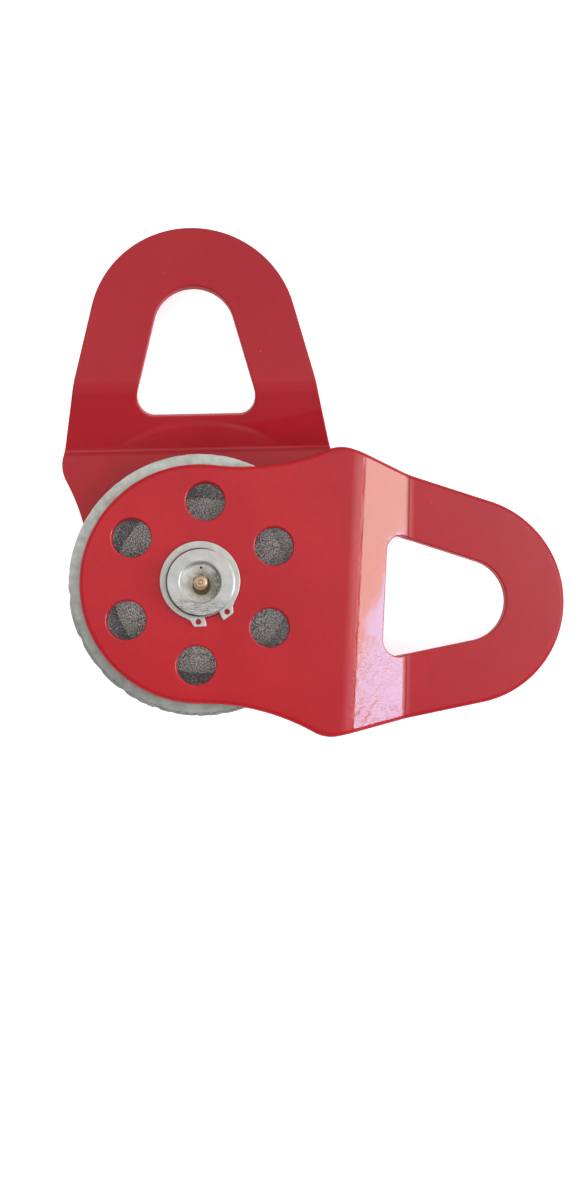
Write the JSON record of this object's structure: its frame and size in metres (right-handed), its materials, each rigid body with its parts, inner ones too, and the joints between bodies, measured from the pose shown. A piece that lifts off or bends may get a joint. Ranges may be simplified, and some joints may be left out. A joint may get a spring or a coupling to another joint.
{
  "type": "snatch block",
  "caption": "Swing-side recovery snatch block: grooved sheave on a greased pin between two red joggled side plates with shackle eyes, opened to take a winch rope.",
  "frame": {"origin": "centre of the rear face of the pin's head, where the pin's axis meets the surface the block lies on", "axes": "+Z along the pin from its head to its greased end, +X along the front side plate from the pin to its shackle eye; the rear side plate points 95 degrees anticlockwise from +X seen from +Z"},
  "size_m": [0.2378, 0.2322, 0.0496],
  "materials": {
    "red_paint": "glossy red paint on stamped steel plate",
    "sheave_iron": "rough cast web, turned rim, dull grey plating",
    "pin_steel": "turned and zinc plated",
    "circlip_steel": "plated spring steel",
    "washer_steel": "plain steel, greased",
    "bush_bronze": "machined bearing bronze, greased",
    "nipple_brass": "turned brass",
    "ball_steel": "polished steel",
    "spring_wire": "drawn wire"
  },
  "bodies": {
    "pin": {"axle_pin": "pin_steel", "circlip": "circlip_steel", "grease_nipple_body": "nipple_brass", "grease_nipple_spring": "spring_wire"},
    "front_plate": {"front_side_plate": "red_paint"},
    "rear_plate": {"rear_side_plate": "red_paint"},
    "sheave": {"sheave": "sheave_iron", "sheave_bush": "bush_bronze"},
    "front_washer": {"front_thrust_washer": "washer_steel"},
    "rear_washer": {"rear_thrust_washer": "washer_steel"},
    "nipple_ball": {"grease_nipple_ball": "ball_steel"}
  },
  "joints": [
    {"name": "front_plate_swing", "type": "hinge", "parent": "pin", "child": "front_plate", "pos_m": [0, 0, 0.0425], "axis": [0, 0, 1], "continuous": true},
    {"name": "rear_plate_swing", "type": "hinge", "parent": "pin", "child": "rear_plate", "pos_m": [0, 0, 0.0075], "axis": [0, 0, 1], "continuous": true},
    {"name": "sheave_spin", "type": "hinge", "parent": "pin", "child": "sheave", "pos_m": [0, 0, 0.025], "axis": [0, 0, 1], "continuous": true},
    {"name": "front_washer_spin", "type": "hinge", "parent": "pin", "child": "front_washer", "pos_m": [0, 0, 0.03925], "axis": [0, 0, 1], "continuous": true},
    {"name": "rear_washer_spin", "type": "hinge", "parent": "pin", "child": "rear_washer", "pos_m": [0, 0, 0.01075], "axis": [0, 0, 1], "continuous": true},
    {"name": "nipple_ball_press", "type": "slide", "parent": "pin", "child": "nipple_ball", "axis": [0, 0, -1], "range_m": [0, 0.0012], "stiffness_N_per_m": 300, "springref_m": -0.001, "deforming": ["grease_nipple_spring"]}
  ]
}
